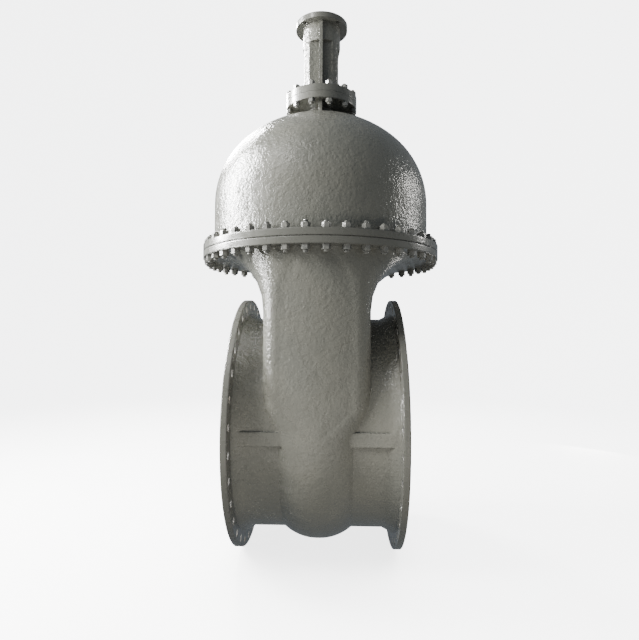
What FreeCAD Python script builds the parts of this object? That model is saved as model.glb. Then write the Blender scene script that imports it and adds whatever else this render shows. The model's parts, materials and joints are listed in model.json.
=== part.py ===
import FreeCAD, Part
import Sketcher
import math
import os

# Large flanged wedge gate valve with a turning stem that doesn't rise. Millimetres.
# Every form is drawn about the stem axis, with the pipe axis at height 0, and is then moved along the
# pipe by half the face-to-face length, so that the origin is the centre of the inlet flange's face.
# +X runs with the flow and +Z up the stem. The front of the valve faces -Y.

V = FreeCAD.Vector
X_AXIS, Y_AXIS, Z_AXIS = V(1, 0, 0), V(0, 1, 0), V(0, 0, 1)

# Driving dimensions
SIZES = [
    # end flanges and pipe necks
    ("face_to_face", 920),
    ("bore_radius", 575),
    ("pipe_wall", 37),
    ("hub_rise", 32),
    ("hub_length", 62),
    ("end_flange_rim", 152.5),
    ("end_flange_thick", 38),
    ("raised_face_inset", 63.5),
    ("raised_face_height", 5),
    ("end_edge_distance", 37.5),
    ("end_hole_radius", 19.5),
    ("end_bolts", 32),
    ("side_rib_height", 72),
    ("side_rib_rise", 14),
    # gate housing: a round lower lobe, an upright barrel and a flare up to the middle flange
    ("lobe_half_width", 319),
    ("lobe_margin", 101),
    ("lobe_side_radius", 2580),
    ("lobe_corner", 280),
    ("housing_wall", 36),
    ("barrel_low", 150),
    ("barrel_half_width", 276),
    ("barrel_margin", 80),
    ("barrel_corner", 90),
    ("barrel_bulge", 22),
    ("flare_drop", 356),
    ("flare_reach", 340),
    ("flare_edge", 25),
    # middle joint between body and bonnet
    ("joint_rise", 421),
    ("middle_flange_thick", 37.5),
    ("middle_flange_rim", 64),
    ("middle_edge_distance", 27),
    ("middle_bolts", 44),
    ("middle_hole_radius", 15),
    ("middle_stud_radius", 13.5),
    ("middle_nut_width", 41),
    ("middle_nut_height", 27),
    ("gasket_thick", 3),
    ("gasket_width", 26),
    # bonnet dome, neck and neck flange
    ("dome_margin", 61),
    ("dome_stretch", 40),
    ("dome_knuckle", 500),
    ("dome_wall_height", 287),
    ("dome_rise", 552),
    ("bonnet_neck_radius", 81),
    ("bonnet_rib_reach", 188),
    ("rib_thick", 22),
    ("bonnet_neck_height", 106),
    ("neck_flange_thick", 41),
    ("neck_flange_radius", 219),
    ("neck_bolt_circle", 200),
    ("neck_bolts", 12),
    ("neck_hole_radius", 13),
    ("neck_stud_radius", 12),
    ("neck_nut_width", 36),
    ("neck_nut_height", 22),
    # yoke
    ("yoke_foot_thick", 41),
    ("yoke_radius", 116),
    ("yoke_bore_radius", 78),
    ("yoke_rib_rise", 15),
    ("pocket_floor", 92),
    ("pocket_width", 62),
    ("head_height", 144),
    ("head_floor_thick", 18),
    ("window_half_width", 50),
    ("window_sill", 80),
    ("gusset_height", 70),
    ("gusset_reach", 52),
    ("yoke_height", 503),
    ("top_flange_thick", 33),
    ("top_flange_radius", 160),
    ("top_bolt_circle", 140),
    ("top_hole_radius", 11),
    ("top_bolts", 4),
    # stem, thrust bearings and their cover
    ("stem_radius", 35),
    ("stem_tip_rise", 8),
    ("drive_radius", 30),
    ("drive_length", 80),
    ("keyway_width", 18),
    ("keyway_depth", 7),
    ("keyway_length", 36),
    ("collar_radius", 60),
    ("collar_thick", 22),
    ("bearing_thick", 26),
    ("bearing_radius", 72),
    ("washer_thick", 8),
    ("cage_inset", 5),
    ("cover_radius", 100),
    ("cover_thick", 14),
    ("cover_screws", 4),
    ("cover_screw_circle", 86),
    ("cover_screw_radius", 5),
    ("cover_screw_depth", 34),
    ("cover_head_radius", 8),
    ("cover_head_height", 9),
    # stuffing box
    ("box_radius", 50),
    ("box_depth", 91),
    ("bush_radius", 45),
    ("packing_ring_height", 15),
    ("packing_count", 4),
    ("gland_rise", 69),
    ("gland_flange_thick", 22),
    ("gland_flange_radius", 73),
    ("gland_bolt_circle", 61),
    ("gland_bolts", 4),
    ("gland_stud_radius", 6),
    ("gland_stud_depth", 28),
    ("gland_nut_width", 18),
    ("gland_nut_height", 11),
    # seats, wedge gate and guides
    ("wedge_angle", 3),
    ("seat_distance", 95),
    ("seat_ring_thick", 24),
    ("seat_ring_width", 28),
    ("seat_ring_sunk", 12),
    ("seat_gap", 0.15),
    ("gate_lap", 25),
    ("gate_ring_rise", 5),
    ("gate_ring_sunk", 6),
    ("gate_ring_width", 24),
    ("gate_plate", 44),
    ("gate_hub_radius", 330),
    ("gate_flat_rise", 10),
    ("tunnel_radius", 41),
    ("tunnel_wall", 22),
    ("nut_head_half", 130),
    ("nut_radius", 60),
    ("nut_height", 85),
    ("nut_flange_half", 65),
    ("nut_flange_thick", 22),
    ("retainer_radius", 100),
    ("retainer_thick", 14),
    ("retainer_screws", 4),
    ("retainer_screw_circle", 86),
    ("retainer_screw_radius", 5),
    ("retainer_screw_depth", 20),
    ("retainer_head_radius", 8),
    ("retainer_head_height", 6),
    ("rail_thick", 40),
    ("groove_depth", 28),
    ("rail_foot", -150),
    ("rail_rise", 434),
    ("lug_foot", -140),
    ("lug_top", 240),
    ("lug_width", 96),
    ("lug_depth", 80),
    ("guide_clearance", 3),
    # clearances
    ("running_clearance", 0.05),
    ("free_clearance", 0.3),
]

doc = FreeCAD.newDocument("gate_valve")
sheet = doc.addObject("Spreadsheet::Sheet", "Sizes")
for row, (name, value) in enumerate(SIZES, start=1):
    sheet.set(f"A{row}", name)
    sheet.set(f"B{row}", str(value))
    sheet.setAlias(f"B{row}", name)
doc.recompute()

# names in an expression that stand for a cell of the sheet
NAMES = sorted((name for name, _ in SIZES), key=len, reverse=True)


def size(name):
    return float(sheet.get(name))


def count(name):
    return int(round(size(name)))


def bound(text):
    """An expression with each size's name written as the sheet's cell, such as Sizes.bore_radius."""
    words = []
    word = ""
    for letter in str(text) + " ":
        if letter.isalnum() or letter in "_.":
            word += letter
            continue
        if word:
            words.append("Sizes." + word if word in NAMES else word)
            word = ""
        words.append(letter)
    return "".join(words).strip()


def worth(text):
    """The value of an expression of sizes."""
    return float(sheet.evalExpression(bound(text).replace("Sizes.", "")))


def bind(item, **expressions):
    for name, text in expressions.items():
        item.setExpression(name, bound(text))
    return item


def to_place(piece):
    """Moves a finished piece from the stem axis to its place downstream of the inlet flange's face."""
    if piece.TypeId == "Part::Feature":
        piece.Placement = FreeCAD.Placement(V(worth("face_to_face / 2"), 0, 0), FreeCAD.Rotation())
        return piece
    piece.setExpression("Placement.Base.x", bound("face_to_face / 2"))
    return piece


def move(item, x="0", y="0", z="0"):
    for axis, text in (("x", x), ("y", y), ("z", z)):
        if text != "0":
            item.setExpression("Placement.Base." + axis, bound(text))
    return item


# Primitives bound to the sheet

def cylinder(name, radius, low, high):
    """Upright cylinder on the stem axis between two heights."""
    item = doc.addObject("Part::Cylinder", name)
    bind(item, Radius=radius, Height=f"({high}) - ({low})")
    return move(item, z=low)


def pipe_cylinder(name, radius, length):
    """Cylinder along the pipe, centred on the stem axis."""
    item = doc.addObject("Part::Cylinder", name)
    bind(item, Radius=radius, Height=length)
    item.Placement = FreeCAD.Placement(V(), FreeCAD.Rotation(Y_AXIS, 90))
    return move(item, x=f"-({length}) / 2")


def box(name, width, depth, low, high, x="0", y="0"):
    """Box between two heights, centred on x and y."""
    item = doc.addObject("Part::Box", name)
    bind(item, Length=width, Width=depth, Height=f"({high}) - ({low})")
    return move(item, x=f"({x}) - ({width}) / 2", y=f"({y}) - ({depth}) / 2", z=low)


def fuse(name, *items):
    item = doc.addObject("Part::MultiFuse", name)
    item.Shapes = list(items)
    return item


def cut(name, base, *tools):
    """Takes the tools away one after another."""
    item = base
    for number, tool in enumerate(tools, start=1):
        last = number == len(tools)
        step = doc.addObject("Part::Cut", name if last else f"{name}_step_{number}")
        step.Base = item
        step.Tool = tool
        item = step
    return item


def common(name, first, second):
    item = doc.addObject("Part::MultiCommon", name)
    item.Shapes = [first, second]
    return item


def worked_out(name, shape):
    """A form that is worked out from the sheet's sizes in code."""
    item = doc.addObject("Part::Feature", name)
    item.Shape = shape
    return item


# Sketched bodies

def sketch_on(body, name, role, outline):
    """A closed outline of straight lines on an origin plane, each corner tied to the sheet."""
    sketch = body.newObject("Sketcher::SketchObject", name)
    plane = [item for item in body.Origin.OriginFeatures if item.Role == role][0]
    sketch.AttachmentSupport = [(plane, "")]
    sketch.MapMode = "FlatFace"
    corners = [V(worth(across), worth(up), 0) for across, up in outline]
    total = len(corners)
    for index in range(total):
        line = Part.LineSegment(corners[index], corners[(index + 1) % total])
        sketch.addGeometry(line, False)
    for index in range(total):
        sketch.addConstraint(Sketcher.Constraint("Coincident", index, 2, (index + 1) % total, 1))
    for index, (across, up) in enumerate(outline):
        for kind, text, value in (("DistanceX", across, corners[index].x), ("DistanceY", up, corners[index].y)):
            number = sketch.addConstraint(Sketcher.Constraint(kind, -1, 1, index, 1, value))
            sketch.setExpression(f"Constraints[{number}]", bound(text))
    return sketch


def turned(name, outline, axis="V_Axis"):
    """A body turned from an outline of (across, up) corners, about the stem unless axis says otherwise."""
    body = doc.addObject("PartDesign::Body", name)
    sketch = sketch_on(body, name + "_outline", "XZ_Plane", outline)
    revolution = body.newObject("PartDesign::Revolution", name + "_turned")
    revolution.Profile = sketch
    revolution.ReferenceAxis = (sketch, [axis])
    revolution.Angle = 360
    return body


def slab(name, outline, thickness, role="XZ_Plane"):
    """A body padded both ways from its plane."""
    body = doc.addObject("PartDesign::Body", name)
    sketch = sketch_on(body, name + "_outline", role, outline)
    pad = body.newObject("PartDesign::Pad", name + "_pad")
    pad.Profile = sketch
    pad.Midplane = True
    bind(pad, Length=thickness)
    return body


def ring_profile(inner, outer, low, high):
    return [(inner, low), (outer, low), (outer, high), (inner, high)]


# Rows of holes, studs and nuts

def circle_places(radius, number, start=0.5):
    """Points on a circle that straddle its centre lines, or with start 0 begin on them."""
    angles = [2 * math.pi * (i + start) / number for i in range(number)]
    return [V(radius * math.cos(angle), radius * math.sin(angle), 0) for angle in angles]


def oval_places(radius, number):
    """Points spaced evenly along an oval of two half circles set apart, which straddle its centre lines."""
    apart = size("dome_stretch")
    quarter = math.pi * radius / 2
    pitch = 4 * (apart + quarter) / number
    places = []
    for i in range(number):
        side, along = divmod(pitch * (i + 0.5), 2 * (apart + quarter))
        turn = 1 if side == 0 else -1
        if along < apart:
            places.append(V(turn * radius, turn * along, 0))
        elif along > apart + 2 * quarter:
            places.append(V(-turn * radius, turn * (2 * (apart + quarter) - along), 0))
        else:
            angle = (along - apart) / radius
            places.append(V(turn * radius * math.cos(angle), turn * (apart + radius * math.sin(angle)), 0))
    return places


def stud_row(places, radius, low, high):
    return Part.makeCompound([Part.makeCylinder(radius, high - low, V(p.x, p.y, low)) for p in places])


def nut_row(places, width, low, height):
    """Hexagon nuts, each with a flat towards the row's centre."""
    nuts = []
    for p in places:
        outwards = math.atan2(p.y, p.x)
        corner = width / math.sqrt(3)
        corners = []
        for i in range(7):
            angle = outwards + math.radians(30 + 60 * i)
            corners.append(V(p.x + corner * math.cos(angle), p.y + corner * math.sin(angle), low))
        nuts.append(Part.Face(Part.makePolygon(corners)).extrude(V(0, 0, height)))
    return Part.makeCompound(nuts)


# Forms of the housing and the dome, seen from above as rounded rectangles and ovals

def arc(first, middle, last):
    return Part.Arc(first, middle, last).toShape()


def front_edges(width, depth, corner, bulge, bow, height):
    """Corner, front and corner of a rounded rectangle, from the end of its right side to that of its left."""
    flank = depth - bulge - corner
    across = width - bow - corner
    slant = corner * math.sqrt(0.5)
    low = V(across, -(depth - bulge), height)
    right = arc(V(across + corner, -flank, height), V(across + slant, -(flank + slant), height), low)
    left_low = V(-across, -(depth - bulge), height)
    left = arc(left_low, V(-across - slant, -(flank + slant), height), V(-across - corner, -flank, height))
    front = arc(low, V(0, -depth, height), left_low) if bulge > 0 else Part.makeLine(low, left_low)
    return [right, front, left]


def outline(width, depth, corner, bulge, bow, height):
    """Rounded rectangle whose front and rear stand out by the bulge and whose sides stand out by the bow."""
    flank = depth - bulge - corner
    front = front_edges(width, depth, corner, bulge, bow, height)
    turn = FreeCAD.Placement(V(), FreeCAD.Rotation(Z_AXIS, 180))
    rear = []
    for edge in front:
        turned_edge = edge.copy()
        turned_edge.transformShape(turn.toMatrix())
        rear.append(turned_edge)
    side = width - bow
    if bow > 0:
        left = arc(V(-side, -flank, height), V(-width, 0, height), V(-side, flank, height))
        right = arc(V(side, flank, height), V(width, 0, height), V(side, -flank, height))
    else:
        left = Part.makeLine(V(-side, -flank, height), V(-side, flank, height))
        right = Part.makeLine(V(side, flank, height), V(side, -flank, height))
    return Part.Wire(front + [left] + rear + [right])


def sphere_drop(flank):
    """How far a lobe's side, part of a sphere about the pipe axis, falls back at a distance from that axis."""
    radius = size("lobe_side_radius")
    return radius - math.sqrt(radius ** 2 - flank ** 2)


def lobe(width, depth, corner):
    """The round lower part of the housing, turned half round the pipe axis."""
    flank = depth - corner
    bow, half_bow = sphere_drop(flank), sphere_drop(flank / 2)
    right = arc(V(width, 0, 0), V(width - half_bow, -flank / 2, 0), V(width - bow, -flank, 0))
    left = arc(V(bow - width, -flank, 0), V(half_bow - width, -flank / 2, 0), V(-width, 0, 0))
    chord = Part.makeLine(V(-width, 0, 0), V(width, 0, 0))
    half = Part.Wire([right] + front_edges(width, depth, corner, 0, bow, 0) + [left, chord])
    return Part.Face(half).revolve(V(), X_AXIS, 180)


def housing(wall, reach, edge, steps, flare_top, top):
    """Gate housing drawn in by the wall: lobe, shoulder, upright barrel and a flare up to the middle flange."""
    width, depth = size("lobe_half_width") - wall, worth(LOBE_DEPTH) - wall
    corner = size("lobe_corner") - wall
    low, start = size("barrel_low"), worth(FLARE_START)
    slim, deep = size("barrel_half_width") - wall, worth(BARREL_DEPTH) - wall
    slim_corner, bulge = size("barrel_corner") - wall, size("barrel_bulge")
    pieces = [lobe(width, depth, corner)]
    pieces.append(Part.makeLoft([
        outline(width, depth, corner, 0, sphere_drop(depth - corner), 0),
        outline(slim, deep, slim_corner, bulge, 0, low)], True, True))
    pieces.append(Part.Face(outline(slim, deep, slim_corner, bulge, 0, low)).extrude(V(0, 0, start - low)))
    # the flare is a quarter of an ellipse from the barrel's side out to the edge, rounder as it rises
    last = math.acos(edge / reach)
    top_width = slim + reach - edge
    top_depth = worth(DOME_WIDTH) + size("dome_stretch") - wall
    sections = []
    for i in range(steps + 1):
        angle = last * i / steps
        wide = slim + reach * (1 - math.cos(angle))
        part = (wide - slim) / (top_width - slim)
        sections.append(outline(
            wide,
            deep + (top_depth - deep) * part,
            slim_corner + (top_width - 1 - slim_corner) * part,
            bulge + (1 - bulge) * part,
            0,
            start + (flare_top - start) * math.sin(angle)))
    pieces.append(Part.makeLoft(sections, True, True))
    collar_low = start + (flare_top - start) * math.sin(last)
    collar = outline(top_width, top_depth, top_width - 1, 1, 0, collar_low)
    pieces.append(Part.Face(collar).extrude(V(0, 0, top - collar_low)))
    return pieces[0].fuse(pieces[1:]).removeSplitter()


def dome(wall, low):
    """Dome of two arcs, turned half round the stem at each end of a short straight piece."""
    width, rise = worth(DOME_WIDTH) - wall, size("dome_rise") - wall
    knuckle, stretch = size("dome_knuckle") - wall, size("dome_stretch")
    centre = worth(DOME_CENTRE)
    crown = (width ** 2 - 2 * width * knuckle + rise ** 2) / (2 * (rise - knuckle))
    inwards = V(width - knuckle, 0, crown - rise)
    knuckle_centre = V(width - knuckle, 0, centre)
    crown_centre = V(0, 0, centre + rise - crown)
    joint = crown_centre + inwards.normalize() * crown
    slant = (V(1, 0, 0) + inwards).normalize()
    upper = (V(0, 0, 1) + inwards).normalize()
    foot = V(width, 0, low)
    shoulder = V(width, 0, centre)
    peak = V(0, 0, centre + rise)
    base = V(0, 0, low)
    half = Part.Face(Part.Wire([
        Part.makeLine(base, foot),
        Part.makeLine(foot, shoulder),
        arc(shoulder, knuckle_centre + slant * knuckle, joint),
        arc(joint, crown_centre + upper * crown, peak),
        Part.makeLine(peak, base)]))
    front = half.revolve(V(), Z_AXIS, -180)
    front.translate(V(0, -stretch, 0))
    rear = half.revolve(V(), Z_AXIS, 180)
    rear.translate(V(0, stretch, 0))
    other = half.mirror(V(), X_AXIS)
    middle = []
    for face in (half, other):
        face = face.copy()
        face.translate(V(0, -stretch, 0))
        middle.append(face.extrude(V(0, 2 * stretch, 0)))
    return front.fuse([rear] + middle).removeSplitter()


def oval_plate(radius, low, high):
    """Plate between two half circles set apart along y."""
    apart = size("dome_stretch")
    right = Part.makeLine(V(radius, -apart, low), V(radius, apart, low))
    rear = arc(V(radius, apart, low), V(0, apart + radius, low), V(-radius, apart, low))
    left = Part.makeLine(V(-radius, apart, low), V(-radius, -apart, low))
    front = arc(V(-radius, -apart, low), V(0, -apart - radius, low), V(radius, -apart, low))
    return Part.Face(Part.Wire([right, rear, left, front])).extrude(V(0, 0, high - low))


# Rings and faces square to the sloping seats

def sloping_cylinder(name, side, radius, start, length):
    """Cylinder square to a seat (side 1 is the outlet, -1 the inlet), outwards from start past its plane."""
    item = doc.addObject("Part::Cylinder", name)
    bind(item, Radius=radius, Height=length)
    item.Placement = FreeCAD.Placement(V(), FreeCAD.Rotation(Y_AXIS, 90 * side))
    item.setExpression("Placement.Rotation.Angle", bound(f"{side} * (90deg + wedge_angle * 1deg)"))
    along = f"({start})"
    angle = "wedge_angle * 1deg"
    move(item, x=f"{side} * (seat_distance / cos({angle}) + {along} * cos({angle}))", z=f"-{along} * sin({angle})")
    return item


def sloping_ring(name, side, inner, outer, start, length):
    spare = "1"
    solid = sloping_cylinder(name + "_outside", side, outer, start, length)
    hole = sloping_cylinder(name + "_inside", side, inner, f"({start}) - {spare}", f"({length}) + 2 * {spare}")
    return cut(name, solid, hole)


def wedge(name, distance, reach, depth):
    """Prism between two planes parallel to the seats, each at a distance square to it from the stem."""
    wide = f"({distance}) / cos(wedge_angle * 1deg)"
    lean = f"({reach}) * tan(wedge_angle * 1deg)"
    outline = [
        (f"-({wide} - {lean})", f"-({reach})"),
        (f"{wide} - {lean}", f"-({reach})"),
        (f"{wide} + {lean}", reach),
        (f"-({wide} + {lean})", reach),
    ]
    return slab(name, outline, depth)


parts = {}


def keep(name, piece):
    """Names a finished sub-part and puts it in its place."""
    to_place(piece)
    piece.Label = name
    parts[name] = piece
    return piece


# Shared places and sizes, each tied to the size that it follows

NECK_RADIUS = "(bore_radius + pipe_wall)"
END_RADIUS = "(bore_radius + end_flange_rim)"
FACE_RADIUS = f"({END_RADIUS} - raised_face_inset)"
END_CIRCLE = f"({END_RADIUS} - end_edge_distance)"
LOBE_DEPTH = "(bore_radius + lobe_margin)"
BARREL_DEPTH = "(bore_radius + barrel_margin)"
DOME_WIDTH = "(bore_radius + dome_margin)"
GATE_RADIUS = "(bore_radius + gate_lap)"
GATE_FLAT = "(bore_radius + gate_flat_rise)"
RAIL_REACH = f"({GATE_RADIUS} - groove_depth)"
JOINT = "(bore_radius + joint_rise)"
JOINT_LOW = f"({JOINT} - gasket_thick / 2)"
JOINT_HIGH = f"({JOINT} + gasket_thick / 2)"
FLARE_START = f"({JOINT} - flare_drop)"
DOME_CENTRE = f"({JOINT} + dome_wall_height)"
CROWN = f"({DOME_CENTRE} + dome_rise)"
NECK_TOP = f"({CROWN} + bonnet_neck_height)"
NECK_LOW = f"({NECK_TOP} - neck_flange_thick)"
FOOT_TOP = f"({NECK_TOP} + yoke_foot_thick)"
TOP = f"({NECK_TOP} + yoke_height)"
HEAD_LOW = f"({TOP} - head_height)"
BEARING_LOW = f"({HEAD_LOW} + head_floor_thick)"
COLLAR_LOW = f"({BEARING_LOW} + bearing_thick)"
COLLAR_HIGH = f"({COLLAR_LOW} + collar_thick)"
BEARING_HIGH = f"({COLLAR_HIGH} + bearing_thick)"
BOX_FLOOR = f"({NECK_TOP} - box_depth)"
PACKING_TOP = f"({BOX_FLOOR} + packing_count * packing_ring_height)"
GLAND_TOP = f"({NECK_TOP} + gland_rise)"
STEM_TIP = f"({GATE_FLAT} - nut_height + stem_tip_rise)"
RAIL_TOP = f"({JOINT} + rail_rise)"
GATE_FACE = "(seat_distance - seat_gap - gate_ring_rise)"
PIPE_INSIDE = "(face_to_face - 2 * end_flange_thick)"
REACH = END_RADIUS

wall = size("housing_wall")
flange_radius = worth(f"{DOME_WIDTH} + middle_flange_rim")
middle_places = oval_places(flange_radius - size("middle_edge_distance"), count("middle_bolts"))
neck_places = circle_places(size("neck_bolt_circle"), count("neck_bolts"))
gland_places = circle_places(size("gland_bolt_circle"), count("gland_bolts"))
cover_places = circle_places(size("cover_screw_circle"), count("cover_screws"))
retainer_places = circle_places(size("retainer_screw_circle"), count("retainer_screws"), start=0)

# the room inside the housing that the gate moves in, and that inside the dome
cavity = worked_out("cavity", housing(
    wall, worth(f"{DOME_WIDTH} - barrel_half_width"), 0, 4, worth(JOINT_LOW), worth(JOINT)))
dome_room = worked_out("dome_room", dome(wall, worth(JOINT_HIGH)))


def end_pieces():
    """Both end flanges with their hubs and the pipe necks between, turned about the pipe axis."""
    face = "face_to_face / 2"
    profile = [
        (face, FACE_RADIUS),
        (f"{face} - raised_face_height", FACE_RADIUS),
        (f"{face} - raised_face_height", END_RADIUS),
        (f"{face} - end_flange_thick", END_RADIUS),
        (f"{face} - end_flange_thick", f"{NECK_RADIUS} + hub_rise"),
        (f"{face} - end_flange_thick - hub_length", NECK_RADIUS),
    ]
    corners = [(f"-({face})", "0"), (face, "0")] + profile
    corners += [(f"-({across})", up) for across, up in reversed(profile)]
    body = turned("ends", corners, "H_Axis")
    doc.recompute()
    hole = body.newObject("Sketcher::SketchObject", "end_hole_outline")
    plane = [item for item in body.Origin.OriginFeatures if item.Role == "YZ_Plane"][0]
    hole.AttachmentSupport = [(plane, "")]
    hole.MapMode = "FlatFace"
    half_step = "180deg / end_bolts"
    centre = V(worth(f"{END_CIRCLE} * sin({half_step})"), worth(f"{END_CIRCLE} * cos({half_step})"), 0)
    hole.addGeometry(Part.Circle(centre, V(0, 0, 1), size("end_hole_radius")), False)
    hole.addConstraint(Sketcher.Constraint("Radius", 0, size("end_hole_radius")))
    hole.setExpression("Constraints[0]", bound("end_hole_radius"))
    hole.addConstraint(Sketcher.Constraint("DistanceX", -1, 1, 0, 3, centre.x))
    hole.setExpression("Constraints[1]", bound(f"{END_CIRCLE} * sin({half_step})"))
    hole.addConstraint(Sketcher.Constraint("DistanceY", -1, 1, 0, 3, centre.y))
    hole.setExpression("Constraints[2]", bound(f"{END_CIRCLE} * cos({half_step})"))
    pocket = body.newObject("PartDesign::Pocket", "end_hole")
    pocket.Profile = hole
    pocket.Midplane = True
    bind(pocket, Length="face_to_face + 2 * end_flange_thick")
    doc.recompute()
    pattern = body.newObject("PartDesign::PolarPattern", "end_holes")
    pattern.Originals = [pocket]
    pattern.Axis = ([item for item in body.Origin.OriginFeatures if item.Role == "X_Axis"][0], [""])
    pattern.Angle = 360
    bind(pattern, Occurrences="end_bolts")
    body.Tip = pattern
    return body


def make_body():
    low, high = worth(f"{JOINT_LOW} - middle_flange_thick"), worth(JOINT_LOW)
    shell = worked_out("housing_form", housing(
        0, size("flare_reach"), size("flare_edge"), 6, low, (low + high) / 2))
    plate = worked_out("body_plate", oval_plate(flange_radius, low, high))
    rib = box(
        "side_rib", PIPE_INSIDE, f"2 * ({NECK_RADIUS} + side_rib_rise)", "-side_rib_height / 2", "side_rib_height / 2")
    outside = fuse("body_outside", shell, end_pieces(), plate, rib)
    hollow = cut("body_hollow", outside, cavity)
    slot = wedge("gate_slot", "seat_distance + seat_ring_thick - seat_ring_sunk", REACH, f"2 * {REACH}")
    tubes = cut("seat_tubes", pipe_cylinder("seat_tube_blank", NECK_RADIUS, PIPE_INSIDE), slot)
    joined = fuse("body_joined", hollow, tubes)
    bore = pipe_cylinder("bore", "bore_radius", "face_to_face + 2 * end_flange_thick")
    seat_outer = "bore_radius + seat_ring_width"
    pockets = [
        sloping_cylinder(f"seat_pocket_{word}", side, seat_outer, "0", "seat_ring_thick")
        for word, side in (("inlet", -1), ("outlet", 1))
    ]
    holes = worked_out("body_holes", stud_row(middle_places, size("middle_hole_radius"), low - 1, high + 1))
    keep("body", cut("body", joined, bore, *pockets, holes))


def make_seats():
    for word, side in (("inlet", -1), ("outlet", 1)):
        inner, outer = "bore_radius", "bore_radius + seat_ring_width"
        keep(f"seat_ring_{word}", sloping_ring(f"seat_ring_{word}", side, inner, outer, "0", "seat_ring_thick"))


def make_rails():
    """Guide rails on the front and rear walls, cut to the walls they are welded to."""
    for word, side in (("front", -1), ("rear", 1)):
        middle = f"{side} * ({RAIL_REACH} + {LOBE_DEPTH}) / 2"
        width = f"{LOBE_DEPTH} - {RAIL_REACH}"
        low_bar = box(f"rail_bar_{word}", "rail_thick", width, "rail_foot", f"{JOINT_LOW} - free_clearance", y=middle)
        high_bar = box(
            f"bonnet_bar_{word}", "rail_thick", width, f"{JOINT_HIGH} + free_clearance", RAIL_TOP, y=middle)
        keep(f"guide_rail_{word}", common(f"guide_rail_{word}", low_bar, cavity))
        keep(f"bonnet_rail_{word}", common(f"bonnet_rail_{word}", high_bar, dome_room))


def make_gate():
    blank = common(
        "gate_disc",
        pipe_cylinder("gate_round", GATE_RADIUS, "4 * seat_distance"),
        wedge("gate_taper", GATE_FACE, REACH, f"2 * {REACH}"))
    lugs = [
        box(f"lug_{word}", "lug_width", "lug_depth", "lug_foot", "lug_top", y=f"{side} * ({GATE_RADIUS} - lug_depth / 2)")
        for word, side in (("front", -1), ("rear", 1))
    ]
    solid = fuse("gate_solid", blank, *lugs)
    # the room between the two face plates, round a hub and a tube for the stem
    room_wedge = wedge("gate_room_taper", f"{GATE_FACE} - gate_plate", REACH, f"2 * {REACH}")
    hub = pipe_cylinder("gate_hub", "gate_hub_radius", "4 * seat_distance")
    tube = cylinder("gate_tube", "tunnel_radius + tunnel_wall", f"-{REACH}", REACH)
    head = box("gate_head", "4 * seat_distance", "2 * nut_head_half", f"{GATE_FLAT} - nut_height - tunnel_wall", REACH)
    lug_blocks = [
        box(
            f"lug_block_{word}", "lug_width", "lug_depth + tunnel_wall", "lug_foot", "lug_top",
            y=f"{side} * ({GATE_RADIUS} - lug_depth / 2)")
        for word, side in (("front", -1), ("rear", 1))
    ]
    room = cut("gate_room", room_wedge, hub, tube, head, *lug_blocks)
    grooves = [
        box(
            f"guide_groove_{word}", "rail_thick + 2 * guide_clearance", GATE_RADIUS, f"-{REACH}", REACH,
            y=f"{side} * ({RAIL_REACH} - guide_clearance + {GATE_RADIUS} / 2)")
        for word, side in (("front", -1), ("rear", 1))
    ]
    tunnel = cylinder("gate_tunnel", "tunnel_radius", f"-{REACH}", REACH)
    above = box("above_flat", "4 * seat_distance", f"2 * {REACH}", GATE_FLAT, f"2 * {REACH}")
    nut_room = cylinder("nut_room", "nut_radius + running_clearance", f"{GATE_FLAT} - nut_height", REACH)
    flange_room = box(
        "nut_flange_room", "2 * (nut_flange_half + running_clearance)", "2 * (nut_flange_half + running_clearance)",
        f"{GATE_FLAT} - nut_flange_thick", REACH)
    top = worth(GATE_FLAT)
    taps = worked_out("retainer_taps", stud_row(
        retainer_places, size("retainer_screw_radius"), top - size("retainer_screw_depth"), top + 1))
    ring_beds = [
        sloping_ring(
            f"ring_bed_{word}", side, "bore_radius", "bore_radius + gate_ring_width",
            f"-(seat_gap + gate_ring_rise + gate_ring_sunk)", "2 * gate_ring_sunk + gate_ring_rise")
        for word, side in (("inlet", -1), ("outlet", 1))
    ]
    cutters = [room, tunnel, above, nut_room, flange_room, taps] + grooves + ring_beds
    keep("wedge_gate", cut("wedge_gate", solid, *cutters))
    for word, side in (("inlet", -1), ("outlet", 1)):
        ring = sloping_ring(
            f"gate_ring_{word}", side, "bore_radius", "bore_radius + gate_ring_width",
            "-(seat_gap + gate_ring_rise + gate_ring_sunk)", "gate_ring_rise + gate_ring_sunk")
        keep(f"gate_ring_{word}", ring)


def make_stem_nut():
    low, high = f"{GATE_FLAT} - nut_height", GATE_FLAT
    barrel = cylinder("nut_barrel", "nut_radius", low, high)
    flange = box("nut_flange", "2 * nut_flange_half", "2 * nut_flange_half", f"{GATE_FLAT} - nut_flange_thick", high)
    thread = cylinder("nut_thread", "stem_radius + running_clearance", f"-{REACH}", f"2 * {TOP}")
    keep("stem_nut", cut("stem_nut", fuse("nut_blank", barrel, flange), thread))
    plate = turned("retainer_blank", ring_profile(
        "tunnel_radius", "retainer_radius", GATE_FLAT, f"{GATE_FLAT} + retainer_thick"))
    top = worth(f"{GATE_FLAT} + retainer_thick")
    clear = size("retainer_screw_radius") + size("free_clearance")
    holes = worked_out("retainer_holes", stud_row(retainer_places, clear, worth(GATE_FLAT) - 1, top + 1))
    keep("nut_retainer", cut("nut_retainer", plate, holes))
    keep("retainer_screws", worked_out("retainer_screws", screw_row(
        retainer_places, size("retainer_screw_radius"), top - size("retainer_thick") - size("retainer_screw_depth"),
        top, size("retainer_head_radius"), size("retainer_head_height"))))


def screw_row(places, radius, low, seat, head_radius, head_height):
    screws = []
    for p in places:
        shank = Part.makeCylinder(radius, seat - low, V(p.x, p.y, low))
        head = Part.makeCylinder(head_radius, head_height, V(p.x, p.y, seat))
        screws.append(shank.fuse(head))
    return Part.makeCompound(screws)


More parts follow.
